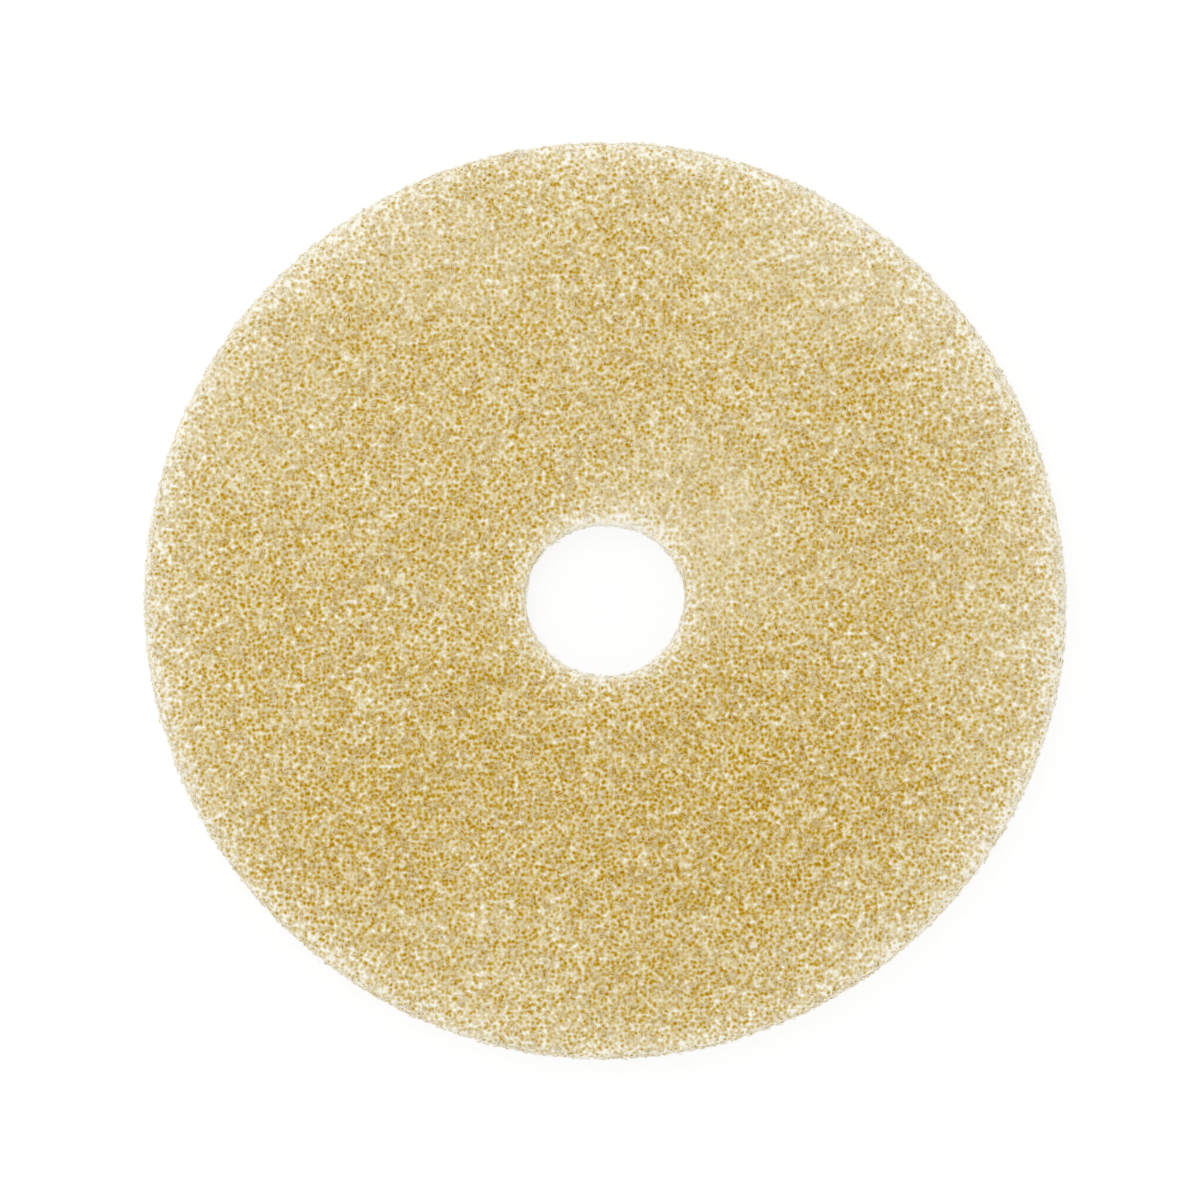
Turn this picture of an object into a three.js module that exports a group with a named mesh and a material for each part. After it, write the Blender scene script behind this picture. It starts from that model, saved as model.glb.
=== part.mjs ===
// A round polishing disc for floor machines, cut from one thick mat of lofty, bonded fibre.
// It has a plain hole in the middle and no backing. It lies flat on its working face, with
// its origin on the floor at the middle of the hole. Millimetres, +Z up.
import * as THREE from 'three';

// The disc
const discRadius = 254;
const thickness = 25;
const holeRadius = 42.5;

// The cutting die squeezes the mat, so that both faces fall a little towards each cut edge
const rimBand = 22;
const rimDrop = 1.4;
const rimShoulder = 4;
const holeBand = 18;
const holeDrop = 1;
const holeShoulder = 3;

// Soft mat doesn't keep a true circle: each wave is a height in mm over a number of lobes,
// with one lobe's top at an angle in degrees, counted from +X towards +Y
const rimWaves = [
  { lobes: 2, height: 0.7, at: -16 },
  { lobes: 4, height: 0.27, at: -14 },
  { lobes: 5, height: 0.22, at: -14 },
];
const holeWaves = [
  { lobes: 2, height: 1.06, at: 0 },
  { lobes: 3, height: 0.35, at: 31 },
];

// Fineness of the faceted surface
const turnSteps = 120;
const curveSteps = 4;

// The cut edge from the top of its straight wall to where the face is level. Material lies on
// the side that `into` points to: -1 at the rim, +1 at the hole.
function cutEdge(radius, into, band, drop, shoulder) {
  const corner = new THREE.Vector2(radius, thickness - drop);
  const crown = new THREE.Vector2(radius + into * band / 2, thickness);
  const joint = corner.clone().lerp(crown, shoulder / (band / 2));
  const edge = new THREE.Path();
  edge.moveTo(corner.x, corner.y - shoulder);
  edge.quadraticCurveTo(corner.x, corner.y, joint.x, joint.y);
  edge.quadraticCurveTo(crown.x, crown.y, radius + into * band, thickness);
  return edge.getPoints(curveSteps);
}

// The section on one side of the axis: up the rim, in over the top, down the hole, out below
function section() {
  const rim = cutEdge(discRadius, -1, rimBand, rimDrop, rimShoulder);
  const hole = cutEdge(holeRadius, 1, holeBand, holeDrop, holeShoulder);
  const upper = [...rim, ...hole.reverse()];
  const lower = upper.map((point) => new THREE.Vector2(point.x, thickness - point.y)).reverse();
  return [...upper, ...lower, upper[0].clone()];
}

function waveHeight(waves, angle) {
  const one = ({ lobes, height, at }) => height * Math.cos(lobes * (angle - THREE.MathUtils.degToRad(at)));
  return waves.reduce((sum, wave) => sum + one(wave), 0);
}

// Moves each point along its radius, by the hole's waves at the hole and the rim's at the rim
function letEdgesWander(geometry) {
  const places = geometry.getAttribute('position');
  for (let i = 0; i < places.count; i += 1) {
    const x = places.getX(i);
    const y = places.getY(i);
    const radius = Math.hypot(x, y);
    const angle = Math.atan2(y, x);
    const outward = (radius - holeRadius) / (discRadius - holeRadius);
    const shift = THREE.MathUtils.lerp(waveHeight(holeWaves, angle), waveHeight(rimWaves, angle), outward);
    places.setX(i, x + shift * Math.cos(angle));
    places.setY(i, y + shift * Math.sin(angle));
  }
}

function polishingDisc() {
  const geometry = new THREE.LatheGeometry(section(), turnSteps);
  geometry.rotateX(Math.PI / 2);
  letEdgesWander(geometry);
  const fibre = new THREE.MeshStandardMaterial({ color: 0xd2bb81, roughness: 0.95, metalness: 0 });
  const disc = new THREE.Mesh(geometry, fibre);
  disc.name = 'polishing_disc';
  return disc;
}

const model = new THREE.Group();
model.add(polishingDisc());

export default model;
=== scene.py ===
# %% [markdown]
# A round polishing disc for a floor machine, cut from a thick mat of curly bonded fibre.
# The mat is one piece: no hub, no backing and no stitching. What makes it worth looking at
# is its surface, so this lesson goes from the camera and the light to the mat's soft relief,
# then to the fibres that lie on it and stand out of its cut edges, and to their golden grain.

# %% Load the fixed frame
import math

import bpy
import numpy as np
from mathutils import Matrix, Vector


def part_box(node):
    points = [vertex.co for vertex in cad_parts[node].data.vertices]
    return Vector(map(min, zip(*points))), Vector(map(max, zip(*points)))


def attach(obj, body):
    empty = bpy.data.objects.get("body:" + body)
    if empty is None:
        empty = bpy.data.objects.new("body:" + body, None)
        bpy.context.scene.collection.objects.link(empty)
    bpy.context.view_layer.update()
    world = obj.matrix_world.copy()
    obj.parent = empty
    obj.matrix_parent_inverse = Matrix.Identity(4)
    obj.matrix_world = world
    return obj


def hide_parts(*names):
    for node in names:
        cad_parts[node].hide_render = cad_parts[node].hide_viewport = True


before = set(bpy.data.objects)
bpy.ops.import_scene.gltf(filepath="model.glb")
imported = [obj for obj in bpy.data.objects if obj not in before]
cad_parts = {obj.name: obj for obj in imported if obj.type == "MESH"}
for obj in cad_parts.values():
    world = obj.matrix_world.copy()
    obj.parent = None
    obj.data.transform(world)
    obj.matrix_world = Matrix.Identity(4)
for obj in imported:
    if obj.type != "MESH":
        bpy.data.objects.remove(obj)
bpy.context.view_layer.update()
print("solids in the frame:", sorted(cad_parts))

# %% [markdown]
# Every size comes from the solid disc of the frame: its box gives the thickness and the mean
# radius of the rim, and its innermost corners give the hole. The hole is slightly oval, so all
# corners up to a few hundredths further out than the nearest count as its own, and its radius
# is the middle of the shortest and the longest of them.

# %% The disc's own sizes, in metres
MM = 0.001
SOLID = "polishing_disc"
HOLE_SPREAD = 1.07

low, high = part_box(SOLID)
thickness = high.z - low.z
solid_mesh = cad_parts[SOLID].data
corners = np.array([v.co for v in solid_mesh.vertices])
from_axis = np.hypot(corners[:, 0], corners[:, 1])
at_hole = from_axis[from_axis < HOLE_SPREAD * from_axis.min()]
rim_radius = ((high.x - low.x) + (high.y - low.y)) / 4
hole_radius = (at_hole.min() + at_hole.max()) / 2
rng = np.random.default_rng(20)
print(f"rim {rim_radius / MM:.1f} mm, hole {hole_radius / MM:.1f} mm, thick {thickness / MM:.1f} mm")

# %% [markdown]
# The photograph looks straight down on the disc, with no sign of perspective, so the camera
# hangs high above it behind a long lens. One pixel of the photograph has a length, which
# follows from the rim, and so the disc shows at the same scale. The camera is then moved
# sideways until the disc's middle falls on the same pixel as in the photograph.

# %% The camera
PHOTO_WIDTH = 1200
RIM_PIXELS = 460.3
MIDDLE_PIXELS = (605.0, 600.5)
CAMERA_HEIGHT = 7.0
SENSOR = 36.0

pixel = rim_radius / RIM_PIXELS
view_width = PHOTO_WIDTH * pixel
camera_x = (PHOTO_WIDTH / 2 - MIDDLE_PIXELS[0]) * pixel
camera_y = (MIDDLE_PIXELS[1] - PHOTO_WIDTH / 2) * pixel
bpy.ops.object.camera_add(location=(camera_x, camera_y, high.z + CAMERA_HEIGHT))
camera = bpy.context.object
camera.data.sensor_width = SENSOR
camera.data.lens = SENSOR * CAMERA_HEIGHT / view_width
bpy.context.scene.camera = camera
bpy.context.scene.view_settings.view_transform = "Standard"
print(f"one pixel of the photograph is {pixel / MM:.4f} mm; lens {camera.data.lens:.0f} mm")

# %% [markdown]
# Shader sums are easier to read as formulas than as boxes and wires. A Wire stands for one
# output of a node: adding, taking away, multiplying or dividing wires lays the Math node
# that does it. Every other node comes from Recipe.add, which sets the node's choices first
# and then its sockets.

# %% Formulas for shaders
class Wire:
    """One output of a node, which can be used in a sum with numbers and other wires."""

    def __init__(self, recipe, socket):
        self.recipe = recipe
        self.socket = socket

    def math(self, operation, *terms):
        return self.recipe.add("Math", {"operation": operation}, dict(enumerate(terms)))

    def __add__(self, other):
        return self.math("ADD", self, other)

    def __sub__(self, other):
        return self.math("SUBTRACT", self, other)

    def __rsub__(self, other):
        return self.math("SUBTRACT", other, self)

    def __mul__(self, other):
        return self.math("MULTIPLY", self, other)

    def __truediv__(self, other):
        return self.math("DIVIDE", self, other)

    __radd__ = __add__
    __rmul__ = __mul__

    def size(self):
        return self.math("ABSOLUTE", self)

    def highest(self, other):
        return self.math("MAXIMUM", self, other)

    def fading(self, reach):
        """1 where this distance is 0, and about a third of that for each reach further on."""
        return self.math("EXPONENT", self / -reach)


class Recipe:
    """The nodes of one material or of the world's light."""

    def __init__(self, tree):
        self.tree = tree
        self.tree.nodes.clear()

    def add(self, kind, choices=None, sockets=None, output=0):
        node = self.tree.nodes.new("ShaderNode" + kind)
        for name, choice in (choices or {}).items():
            if name == "stops":
                self.set_stops(node.color_ramp.elements, choice)
            else:
                setattr(node, name, choice)
        for name, value in (sockets or {}).items():
            if isinstance(value, Wire):
                self.tree.links.new(value.socket, node.inputs[name])
            else:
                node.inputs[name].default_value = value
        return Wire(self, node.outputs[output] if node.outputs else None)

    def set_stops(self, elements, stops):
        while len(elements) < len(stops):
            elements.new(0.5)
        for element, (place, colour) in zip(elements, stops):
            element.position = place
            element.color = (*colour, 1)

    def rising(self, wire, start, end):
        """0 below start, 1 above end and a soft slope between; start may be the larger one."""
        sockets = {"Value": wire, "From Min": start, "From Max": end}
        return self.add("MapRange", {"interpolation_type": "SMOOTHSTEP"}, sockets)

    def moved(self, place, shift):
        return self.add("VectorMath", {"operation": "ADD"}, {0: place, 1: shift})

    def cloud(self, place, size, detail=0.0, shift=0.0):
        """Soft noise about 0, from -0.5 to 0.5, in lumps of the given size."""
        sockets = {"Vector": self.moved(place, (shift,) * 3), "Scale": 1 / size, "Detail": detail}
        return self.add("TexNoise", None, sockets) - 0.5

    def pits(self, place, size):
        """Small round pits, each of the given size, with a net of ridges between them."""
        sockets = {"Vector": place, "Scale": 1 / size, "Randomness": 0.9}
        return self.add("TexVoronoi", None, sockets) - 0.5


def new_material(name):
    material = bpy.data.materials.new(name)
    material.use_nodes = True
    return material, Recipe(material.node_tree)


def srgb(red, green, blue):
    """A colour as a picture gives it, from 0 to 255, in the linear numbers that nodes want."""
    def linear(level):
        level /= 255
        return level / 12.92 if level <= 0.04045 else ((level + 0.055) / 1.055) ** 2.4
    return linear(red), linear(green), linear(blue)


print("a mid grey of 128 is", round(srgb(128, 128, 128)[0], 3), "in linear light")

# %% [markdown]
# The disc was photographed on pure white. The floor shows itself to the camera as nearly
# white already, so only the disc's soft shadow is seen on it, while for the light that it
# throws back at the disc it is an ordinary pale floor. The sky is white to the camera too.
# As a light it is dimmer overhead, where a lamp gives the rest, and brighter towards its edge,
# as in a white tent, so that the upright walls of the disc don't turn grey.

# %% Floor and sky
FLOOR_SIZE = 12.0
FLOOR_GREY = (0.9, 0.9, 0.9, 1)
SHADOW_DEPTH = 0.20
FLOOR_GLOW = 0.83
WHITE = (1, 1, 1, 1)
SKY_TOP = 0.6
SKY_EDGE = 1.35


def seen_directly(recipe):
    """1 where the camera, a mirror or a glass looks at a surface, 0 for scattered light."""
    kinds = ("Is Camera Ray", "Is Glossy Ray", "Is Transmission Ray")
    camera_ray, glossy_ray, glass_ray = (recipe.add("LightPath", output=kind) for kind in kinds)
    return camera_ray.highest(glossy_ray).highest(glass_ray)


def floor_finish():
    material, recipe = new_material("pale_floor")
    plain = recipe.add("BsdfDiffuse", None, {"Color": FLOOR_GREY})
    shadowed = recipe.add("BsdfDiffuse", None, {"Color": (SHADOW_DEPTH,) * 3 + (1,)})
    glow = recipe.add("Emission", None, {"Color": WHITE, "Strength": FLOOR_GLOW})
    shown = recipe.add("AddShader", None, {0: shadowed, 1: glow})
    surface = recipe.add("MixShader", None, {0: seen_directly(recipe), 1: plain, 2: shown})
    recipe.add("OutputMaterial", None, {"Surface": surface})
    return material


bpy.ops.object.select_all(action="DESELECT")
bpy.ops.mesh.primitive_plane_add(size=FLOOR_SIZE)
floor = bpy.context.object
floor.name = "floor"
floor.data.materials.append(floor_finish())

world = bpy.data.worlds.new("white_room")
world.use_nodes = True
bpy.context.scene.world = world
sky = Recipe(world.node_tree)
direction = sky.add("TexCoord", output="Generated")
upward = sky.add("SeparateXYZ", None, {0: direction}, output="Z")
light_level = SKY_EDGE - (SKY_EDGE - SKY_TOP) * upward.highest(0)
light_level = light_level + (1 - light_level) * seen_directly(sky)
background = sky.add("Background", None, {"Color": WHITE, "Strength": light_level})
sky.add("OutputWorld", None, {"Surface": background})
print("floor and sky are made")

# %% [markdown]
# One wide lamp stands high at the upper left. A small lamp would draw hard shadows, which the
# photograph doesn't have, and a sky alone would leave the lumps and fibres without a lit side.
# Its power is what brings a level white card up to white, together with the sky.

# %% The lamp
LAMP_POWER = 7.2
LAMP_PLACE = (-0.55, 0.7, 1.9)
LAMP_SIZE = 1.2

bpy.ops.object.light_add(type="AREA", location=LAMP_PLACE)
lamp = bpy.context.object
lamp.data.shape = "DISK"
lamp.data.size = LAMP_SIZE
lamp.data.energy = LAMP_POWER
lamp.rotation_euler = (-lamp.location).to_track_quat("-Z", "Y").to_euler()
print("lamp power", LAMP_POWER)

# %% [markdown]
# The mat. A pad's own solid is a clean disc, and real bonded fibre is lumpy: it rises and
# sinks by half a millimetre from one clump to the next. The relief could be a bump in the
# material, but then the cut edges would still look turned. So a copy of the solid is drawn
# in a little, to leave room for the fibres on top, covered anew with an even net of small
# faces, and pushed in and out by three cloudy patterns of different size. A die squeezes the
# mat while it cuts, and the middle of each wall ends up a little hollow when it springs back,
# so the copy's walls are first drawn in there.

# %% The mat's relief
FIBRE_ROOM = 0.8 * MM
FACE_SIZE = 2.2 * MM
DISH = 1.2 * MM
HAIR = 0.01 * MM
LUMPS = (("swell", 60 * MM, 0.8 * MM), ("clump", 14 * MM, 0.9 * MM), ("tuft", 6 * MM, 0.8 * MM))


def use_modifier(piece, kind, **values):
    """Adds a modifier, sets its values and applies it."""
    modifier = piece.modifiers.new(kind.lower(), kind)
    for name, value in values.items():
        setattr(modifier, name, value)
    bpy.context.view_layer.objects.active = piece
    bpy.ops.object.modifier_apply(modifier=modifier.name)


def dish_walls(mat):
    """Cuts the walls at half their height and draws that ring into the material."""
    middle = (0, 0, thickness / 2)
    bpy.ops.mesh.select_all(action="SELECT")
    bpy.ops.mesh.bisect(plane_co=middle, plane_no=(0, 0, 1))
    for is_rim, share in ((True, 1 - DISH / rim_radius), (False, 1 + DISH / hole_radius)):
        bpy.ops.mesh.select_all(action="DESELECT")
        bpy.ops.object.mode_set(mode="OBJECT")
        for corner in mat.data.vertices:
            half_way_up = abs(corner.co.z - thickness / 2) < HAIR
            at_rim = math.hypot(corner.co.x, corner.co.y) > (rim_radius + hole_radius) / 2
            corner.select = half_way_up and at_rim == is_rim
        bpy.ops.object.mode_set(mode="EDIT")
        bpy.ops.transform.resize(value=(share, share, 1), center_override=middle)


def make_mat():
    bpy.ops.object.select_all(action="DESELECT")
    mat = bpy.data.objects.new("fibre_mat", solid_mesh.copy())
    bpy.context.scene.collection.objects.link(mat)
    mat.data.materials.clear()
    bpy.context.view_layer.objects.active = mat
    mat.select_set(True)
    bpy.ops.object.mode_set(mode="EDIT")
    bpy.ops.mesh.select_all(action="SELECT")
    bpy.ops.mesh.remove_doubles(threshold=HAIR)
    dish_walls(mat)
    bpy.ops.object.mode_set(mode="OBJECT")
    use_modifier(mat, "DISPLACE", strength=-FIBRE_ROOM, mid_level=0)
    use_modifier(mat, "REMESH", mode="VOXEL", voxel_size=FACE_SIZE)
    use_modifier(mat, "SMOOTH", factor=0.5, iterations=2)
    for name, size, height in LUMPS:
        lumps = bpy.data.textures.new(name, "CLOUDS")
        lumps.noise_scale = size
        lumps.noise_depth = 1
        use_modifier(mat, "DISPLACE", texture=lumps, texture_coords="LOCAL", strength=height)
    bpy.ops.object.shade_smooth()
    return mat


mat = make_mat()
lowest = min(corner.co.z for corner in mat.data.vertices)
print("mat:", 2 * len(mat.data.polygons), "triangles,", [round(x / MM, 1) for x in mat.dimensions])
print("its lowest corner is", round(lowest / MM, 2), "mm above the floor")

# %% [markdown]
# Fibres. On the real pad each fibre is long and crimped, and only short bows of it show
# before it dives under its neighbours. So a few bows are modelled once, each drawn out of a
# three-sided ring step by step, and copied thousands of times onto the mat: with both ends
# under its surface and the middle above it. Three sides are enough for a fibre that is
# thinner than a pixel, and they keep the whole disc light.

# %% A few bows of fibre
FIBRE_THICK = 0.46 * MM
BOW_STEPS = 6
BOW_KINDS = 8
SINK = 0.55
SWAYS = 0.8


def model_bow(name, length, height, sway, twist):
    """A bow from below the surface up over it and down again, which sways to its sides."""
    share = np.linspace(0, 1, BOW_STEPS + 1)
    path = np.stack([
        length * (share - 0.5),
        sway * np.sin(2 * math.pi * (share * SWAYS + twist)),
        height * ((1 + SINK) * np.sin(math.pi * share) - SINK),
    ], axis=1)
    heading = np.arctan2(np.diff(path[:, 1]), np.diff(path[:, 0]))
    bpy.ops.object.select_all(action="DESELECT")
    bpy.ops.mesh.primitive_circle_add(
        vertices=3, radius=FIBRE_THICK / 2, fill_type="NGON",
        location=path[0], rotation=(-math.pi / 2, 0, math.pi / 2),
    )
    bow = bpy.context.object
    bow.name = name
    bpy.ops.object.transform_apply(location=True, rotation=True, scale=True)
    bpy.ops.object.mode_set(mode="EDIT")
    bpy.ops.mesh.select_all(action="SELECT")
    turned = 0.0
    for start, end, angle in zip(path[:-1], path[1:], heading):
        bpy.ops.mesh.extrude_region_move(TRANSFORM_OT_translate={"value": tuple(end - start)})
        bpy.ops.transform.rotate(value=turned - angle, orient_axis="Z", center_override=tuple(end))
        turned = angle
    bpy.ops.mesh.select_all(action="SELECT")
    bpy.ops.mesh.quads_convert_to_tris()
    bpy.ops.mesh.normals_make_consistent(inside=False)
    bpy.ops.object.mode_set(mode="OBJECT")
    return bow


def shape_of(piece):
    """A piece's vertices and triangles as arrays; the piece itself is no longer needed."""
    mesh = piece.data
    points = np.array([v.co for v in mesh.vertices])
    triangles = np.array([p.vertices[:] for p in mesh.polygons])
    bpy.data.objects.remove(piece)
    return points, triangles


bows = []
for i in range(BOW_KINDS):
    bow = model_bow(
        f"bow_{i}",
        length=rng.uniform(4.0, 7.5) * MM,
        height=rng.uniform(0.35, 0.65) * MM,
        sway=rng.uniform(0.5, 1.4) * MM,
        twist=rng.uniform(0, 1),
    )
    bows.append(shape_of(bow))
print(len(bows), "bows of", len(bows[0][1]), "triangles")

# %% [markdown]
# A fibre needs a place to lie. The mat's own small faces are as good as a list of places:
# each has a middle and an outward direction, and drawing them in proportion to their area
# spreads the fibres evenly. They are sorted into the upper face, the lower face, the cut
# rim, the wall of the hole, and the soft upper edges of both, where loose fibres stand out.

# %% Where the fibres lie
LEVEL_ENOUGH = 0.6
EDGE_BAND = 5 * MM


def faces_of(piece):
    """The middle, outward direction and area of each face."""
    count = len(piece.data.polygons)
    middles = np.empty(count * 3, np.float32)
    normals = np.empty(count * 3, np.float32)
    areas = np.empty(count, np.float32)
    piece.data.polygons.foreach_get("center", middles)
    piece.data.polygons.foreach_get("normal", normals)
    piece.data.polygons.foreach_get("area", areas)
    middles, normals = (values.reshape(-1, 3).astype(float) for values in (middles, normals))
    return middles, normals, areas.astype(float)


middles, outward, areas = faces_of(mat)
radii = np.hypot(middles[:, 0], middles[:, 1])
on_top = outward[:, 2] > LEVEL_ENOUGH
below = outward[:, 2] < -LEVEL_ENOUGH
upper_half = ~below & (middles[:, 2] > thickness / 2)
on_rim = ~on_top & ~below & (radii > (rim_radius + hole_radius) / 2)
in_hole = ~on_top & ~below & ~on_rim
rim_edge = upper_half & (radii > rim_radius - EDGE_BAND)
hole_edge = upper_half & (radii < hole_radius + EDGE_BAND)
print("share of the surface on top", round(areas[on_top].sum() / areas.sum(), 2))

# %% [markdown]
# Laying the fibres. Twenty thousand separate objects would be slow to make and to move, so
# the copies are counted out as arrays and joined into one piece for each part of the mat.
# On the faces a fibre may point anywhere. On the cut walls most fibres run round the disc,
# because the mat is made of layers that lie flat, and they lean up a little. The loose ones
# at the upper edges rise higher and make its soft fringe. Each fibre keeps one number, its
# tone, so that the finish can tell one fibre from the next.

# %% Lay the fibres
LEAN = 0.12
SMALLEST = 0.75
LARGEST = 1.25
ALL_ROUND = math.pi
MOSTLY_LEVEL = 0.8
WALL_LIFT = 0.7
LOOSE_SIZE = 0.75


def unit(vectors):
    return vectors / np.linalg.norm(vectors, axis=-1, keepdims=True)


def lay_fibres(name, where, count, spread, rise=1.0, scale=1.0, lift=0.0):
    """Copies of the bows on faces drawn by area, joined into one piece."""
    chosen = rng.choice(np.flatnonzero(where), count, p=areas[where] / areas[where].sum())
    up = unit(outward[chosen] + rng.normal(0, LEAN, (count, 3)) + (0, 0, lift))
    level = unit(np.cross((0, 0, 1), up))
    angle = rng.uniform(-spread, spread, count)[:, None]
    forward = level * np.cos(angle) + np.cross(up, level) * np.sin(angle)
    left = np.cross(up, forward)
    place = middles[chosen] + rng.uniform(-0.5, 0.5, (count, 1)) * FACE_SIZE * forward
    size = scale * rng.uniform(SMALLEST, LARGEST, count)
    kind = rng.integers(len(bows), size=count)
    points, triangles, tones, start = [], [], [], 0
    for i in range(count):
        local, faces = bows[kind[i]]
        along, aside, above = (local * size[i]).T[:, :, None]
        points.append(place[i] + along * forward[i] + aside * left[i] + rise * above * up[i])
        triangles.append(faces + start)
        tones.append(np.full(len(local), rng.uniform()))
        start += len(local)
    points = np.concatenate(points)
    # The disc lies on the floor, so what would reach under it is pressed flat
    points[:, 2] = np.maximum(points[:, 2], 0)
    mesh = bpy.data.meshes.new(name)
    mesh.from_pydata(points, [], np.concatenate(triangles))
    tone = mesh.attributes.new("tone", "FLOAT", "POINT")
    tone.data.foreach_set("value", np.concatenate(tones).astype(np.float32))
    piece = bpy.data.objects.new(name, mesh)
    bpy.context.scene.collection.objects.link(piece)
    return piece


fibre_pieces = [
    lay_fibres("face_fibres_a", on_top, 5000, ALL_ROUND),
    lay_fibres("face_fibres_b", on_top, 5000, ALL_ROUND),
    lay_fibres("floor_fibres", below, 3400, ALL_ROUND),
    lay_fibres("rim_fibres", on_rim, 3900, MOSTLY_LEVEL, lift=WALL_LIFT),
    lay_fibres("hole_fibres", in_hole, 800, MOSTLY_LEVEL, 0.7, lift=WALL_LIFT),
    lay_fibres("loose_rim_fibres", rim_edge, 2400, ALL_ROUND, 3.2, LOOSE_SIZE, WALL_LIFT),
    lay_fibres("loose_hole_fibres", hole_edge, 380, ALL_ROUND, 2.0, LOOSE_SIZE, WALL_LIFT),
]
for piece in fibre_pieces:
    print(piece.name, len(piece.data.polygons), "triangles")

# %% [markdown]
# The finish is one scale of tones from deep ochre to cream, and everything that the surface
# shows moves a point along that scale. Its dark end is painted shade, the deep warm shade in
# the pits between the fibres. Its pale end is painted light on the bows that stand out. Mixing
# two colours would be simpler, but the real scale isn't straight: it loses its yellow long
# before it gets bright.

# %% The scale of tones
# From the painted shade of the deep pits, through the pad's own champagne, to the painted light on
# the bows
TONE_SCALE = [
    (0.00, srgb(170, 120, 0)),
    (0.14, srgb(185, 141, 0)),
    (0.28, srgb(198, 160, 50)),
    (0.40, srgb(208, 180, 102)),
    (0.50, srgb(216, 194, 136)),
    (0.62, srgb(224, 207, 161)),
    (0.76, srgb(234, 221, 184)),
    (0.90, srgb(243, 235, 210)),
    (1.00, srgb(252, 249, 238)),
]
print("the scale has", len(TONE_SCALE), "steps")

# %% [markdown]
# Slow tones. The face isn't evenly golden. There is a pale crescent beside the hole, a deep
# golden field below it, and a few pale clouds near the rim. The upper half is a little paler
# as well, which is painted light falling from above. They are painted as soft oval patches:
# each has its middle's x and y and its half width and half height, in millimetres, and then
# how much paler it is, or darker. A cloud pattern bends the place first, so that no oval shows.

# %% Slow tones
PATCHES = {
    "crescent above the hole": (42, 60, 42, 34, 0.075),
    "crescent beside the hole": (76, 22, 31, 50, 0.08),
    "field under the hole": (20, -95, 170, 80, -0.037),
    "deepest gold": (78, -122, 60, 60, -0.018),
    "lower left gold": (-155, -140, 60, 50, -0.04),
    # Painted light: the upper half is a little paler, as the light falls from above
    "painted light on the upper half": (0, 190, 260, 120, 0.02),
    "left cloud": (-187, 100, 52, 44, 0.04),
    "top cloud": (-86, 188, 50, 34, 0.05),
    "upper right cloud": (118, 182, 76, 50, 0.055),
    "right cloud": (208, 25, 54, 120, 0.03),
    "lower cloud": (-60, -163, 66, 44, 0.02),
}
BEND = 20 * MM
BEND_SIZE = 38 * MM
MOTTLE = 0.13
MOTTLE_SIZE = 15 * MM
MOTTLE_SHIFT = 0.71
PATCH_FULL = 0.7
PATCH_END = 1.15


def slow_tone(recipe, place):
    """How much lighter or darker each patch of the disc is."""
    sockets = {"Vector": place, "Scale": 1 / BEND_SIZE, "Detail": 2.0}
    swirl = recipe.add("TexNoise", None, sockets, output="Color")
    swirl = recipe.moved(swirl, (-0.5, -0.5, -0.5))
    swirl = recipe.add("VectorMath", {"operation": "SCALE"}, {0: swirl, "Scale": 2 * BEND})
    bent = recipe.moved(place, swirl)
    tone = MOTTLE * recipe.cloud(place, MOTTLE_SIZE, 1.0, MOTTLE_SHIFT)
    for x, y, across, down, strength in PATCHES.values():
        sockets = {0: bent, 1: (-x * MM, -y * MM, 0)}
        offset = recipe.add("VectorMath", {"operation": "ADD"}, sockets)
        sockets = {0: offset, 1: (1 / (across * MM), 1 / (down * MM), 0)}
        offset = recipe.add("VectorMath", {"operation": "MULTIPLY"}, sockets)
        distance = recipe.add("VectorMath", {"operation": "LENGTH"}, {0: offset}, output="Value")
        tone = tone + strength * recipe.rising(distance, PATCH_END, PATCH_FULL)
    return tone


print(len(PATCHES), "patches")

# %% [markdown]
# Pale edges, which are painted light. Where the die cut the mat, the fibres are pressed thin
# and light comes through them. That glow is painted into the colour, so both edges fade to
# cream. Each fade is an exponential curve over about a centimetre, with a shorter one for the
# very lip: a painted highlight that lifts the shade where the rounded lip turns away from the
# light. The rim has a long straight slope as well. A cloud pattern stretches it all here and
# narrows it there. The walls take the full painted glow near both faces and less of it half
# way up, where they are thickest, so there they are a little more golden.

# %% Pale edges
# Painted glow of light through the thin cut fibres, at the rim and at the hole
RIM_PAINTED_GLOW = 0.31
RIM_FADE = 10 * MM
SLOPE_PALE = 0.05
SLOPE_WIDTH = 58 * MM
HOLE_PAINTED_GLOW = 0.34
HOLE_FADE = 8.8 * MM
# Painted highlight on the very lip of the rim and of the hole, lifting its shade
RIM_LIP_PAINTED_LIGHT = 0.18
HOLE_LIP_PAINTED_LIGHT = 0.24
LIP_FADE = 2.6 * MM
UNEVEN = 1.6
UNEVEN_SIZE = 70 * MM
UNEVEN_SHIFT = 0.53
WALL_SHARE = 0.8
WALL_START = 0.12
WALL_END = 0.48


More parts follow.
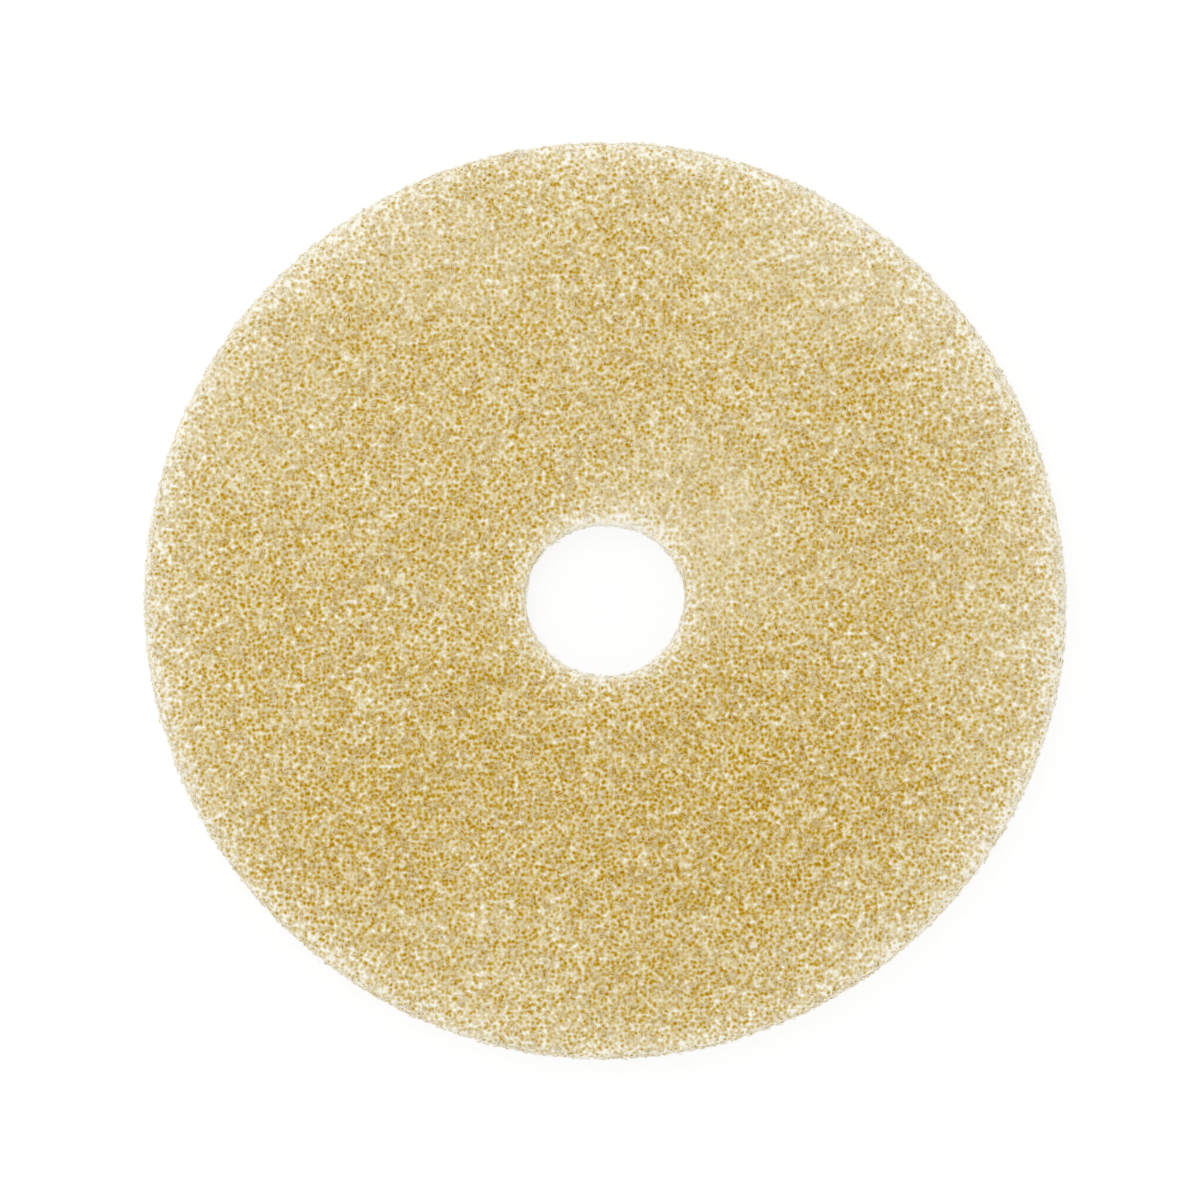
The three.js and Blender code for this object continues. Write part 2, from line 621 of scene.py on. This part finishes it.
def painted_edge_light(recipe, place):
    """How much paler the disc is towards its rim and its hole: painted glow, painted lip light and a
    slope.
    """
    flat = recipe.add("VectorMath", {"operation": "MULTIPLY"}, {0: place, 1: (1, 1, 0)})
    radius = recipe.add("VectorMath", {"operation": "LENGTH"}, {0: flat}, output="Value")
    stretch = 1 + UNEVEN * recipe.cloud(place, UNEVEN_SIZE, 1.0, UNEVEN_SHIFT)
    from_rim = (rim_radius - radius).highest(0) * stretch
    from_hole = (radius - hole_radius).highest(0) * stretch
    # The glow of light through the thin cut fibres, painted into the colour
    pale = RIM_PAINTED_GLOW * from_rim.fading(RIM_FADE) + HOLE_PAINTED_GLOW * from_hole.fading(HOLE_FADE)
    # Painted highlight on the lip, where the rounded edge turns away from the light
    pale = pale + RIM_LIP_PAINTED_LIGHT * from_rim.fading(LIP_FADE) + HOLE_LIP_PAINTED_LIGHT * from_hole.fading(LIP_FADE)
    height = recipe.add("SeparateXYZ", None, {0: place}, output="Z") / thickness
    near_face = recipe.rising((height - 0.5).size(), WALL_START, WALL_END)
    pale = pale * (WALL_SHARE + (1 - WALL_SHARE) * near_face)
    return pale + SLOPE_PALE * (1 - from_rim / SLOPE_WIDTH).highest(0)


print("the rim is pale over about", round(2 * RIM_FADE / MM), "mm")

# %% [markdown]
# The grain, with painted shade and light. At this scale no single fibre shows: what shows is a
# fine speckle of golden pits and cream bows, two to four millimetres from one to the next. The
# deep golden of the pits is painted shade and the cream of the bows is painted light, over a
# tone that differs at random. Three patterns make it: soft noise of two sizes, and round pits
# with ridges between them. The same three also drive the bump, so that what is pale stands up
# and what is golden lies deep. They are squeezed in height, since the mat is laid in layers.
# They are calmer in the pale patches and stronger near the edges, where the last golden pits
# stand out from the cream. The bows of fibre take the same finish, painted a little paler as
# lit fibre, and each shifts it by its own tone.

# %% The finish of the mat and its fibres
COARSE_SIZE = 1.9 * MM
COARSE_SHARE = 0.65
FINE_SIZE = 1.5 * MM
FINE_SHARE = 0.5
FINE_SHIFT = 0.37
FINE_RELIEF = 0.5
PIT_SIZE = 2.6 * MM
PIT_SHARE = 0.88
CALM = 2.0
LIVELY = 0.7
LAYERS = 2.0
MIDDLE_TONE = 0.5
BUMP_HEIGHT = 0.6 * MM
BUMP_STRENGTH = 0.35
# How much paler the fibres are painted, as lit bows
FIBRE_PAINTED_LIGHT = 0.06
FIBRE_RANGE = 0.25


def fibre_finish(name, is_fibre):
    """Bonded fibre, of the mat itself or of a bow that lies on it."""
    material, recipe = new_material(name)
    place = recipe.add("TexCoord", output="Object")
    layered = recipe.add("VectorMath", {"operation": "MULTIPLY"}, {0: place, 1: (1, 1, LAYERS)})
    coarse = recipe.cloud(layered, COARSE_SIZE)
    slow = slow_tone(recipe, place)
    # Painted light at the edges: the glow through thin cut fibres and the lit lip
    edge = painted_edge_light(recipe, place)
    # Grain: painted shade in the golden pits and painted light on the cream bows, over random tone
    grain_and_painted_shade = COARSE_SHARE * coarse
    sockets = {"Roughness": 0.9, "Specular IOR Level": 0.2}
    if is_fibre:
        tone = recipe.add("Attribute", {"attribute_name": "tone"}, output="Fac")
        # Fibres are painted a little paler as lit bows, then shifted by their own random tone
        grain_and_painted_shade = grain_and_painted_shade + FIBRE_PAINTED_LIGHT + FIBRE_RANGE * (tone - 0.5)
    else:
        fine = recipe.cloud(layered, FINE_SIZE, 0.0, FINE_SHIFT)
        pits = recipe.pits(layered, PIT_SIZE)
        grain_and_painted_shade = grain_and_painted_shade + FINE_SHARE * fine + PIT_SHARE * pits
        height = {"Height": coarse + FINE_RELIEF * fine + pits}
        height |= {"Strength": BUMP_STRENGTH, "Distance": BUMP_HEIGHT}
        sockets["Normal"] = recipe.add("Bump", None, height)
    level = MIDDLE_TONE + slow + edge + grain_and_painted_shade * (1 + LIVELY * edge - CALM * slow.highest(0))
    sockets["Base Color"] = recipe.add("ValToRGB", {"stops": TONE_SCALE}, {"Fac": level})
    shader = recipe.add("BsdfPrincipled", None, sockets)
    recipe.add("OutputMaterial", None, {"Surface": shader})
    return material


mat.data.materials.append(fibre_finish("golden_mat", False))
fibre_material = fibre_finish("golden_fibre", True)
for piece in fibre_pieces:
    piece.data.materials.append(fibre_material)
print("finishes are made")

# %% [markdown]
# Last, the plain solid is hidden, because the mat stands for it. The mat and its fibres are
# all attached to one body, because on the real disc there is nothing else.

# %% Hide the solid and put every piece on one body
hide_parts(SOLID)
for piece in [mat, *fibre_pieces]:
    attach(piece, "root")
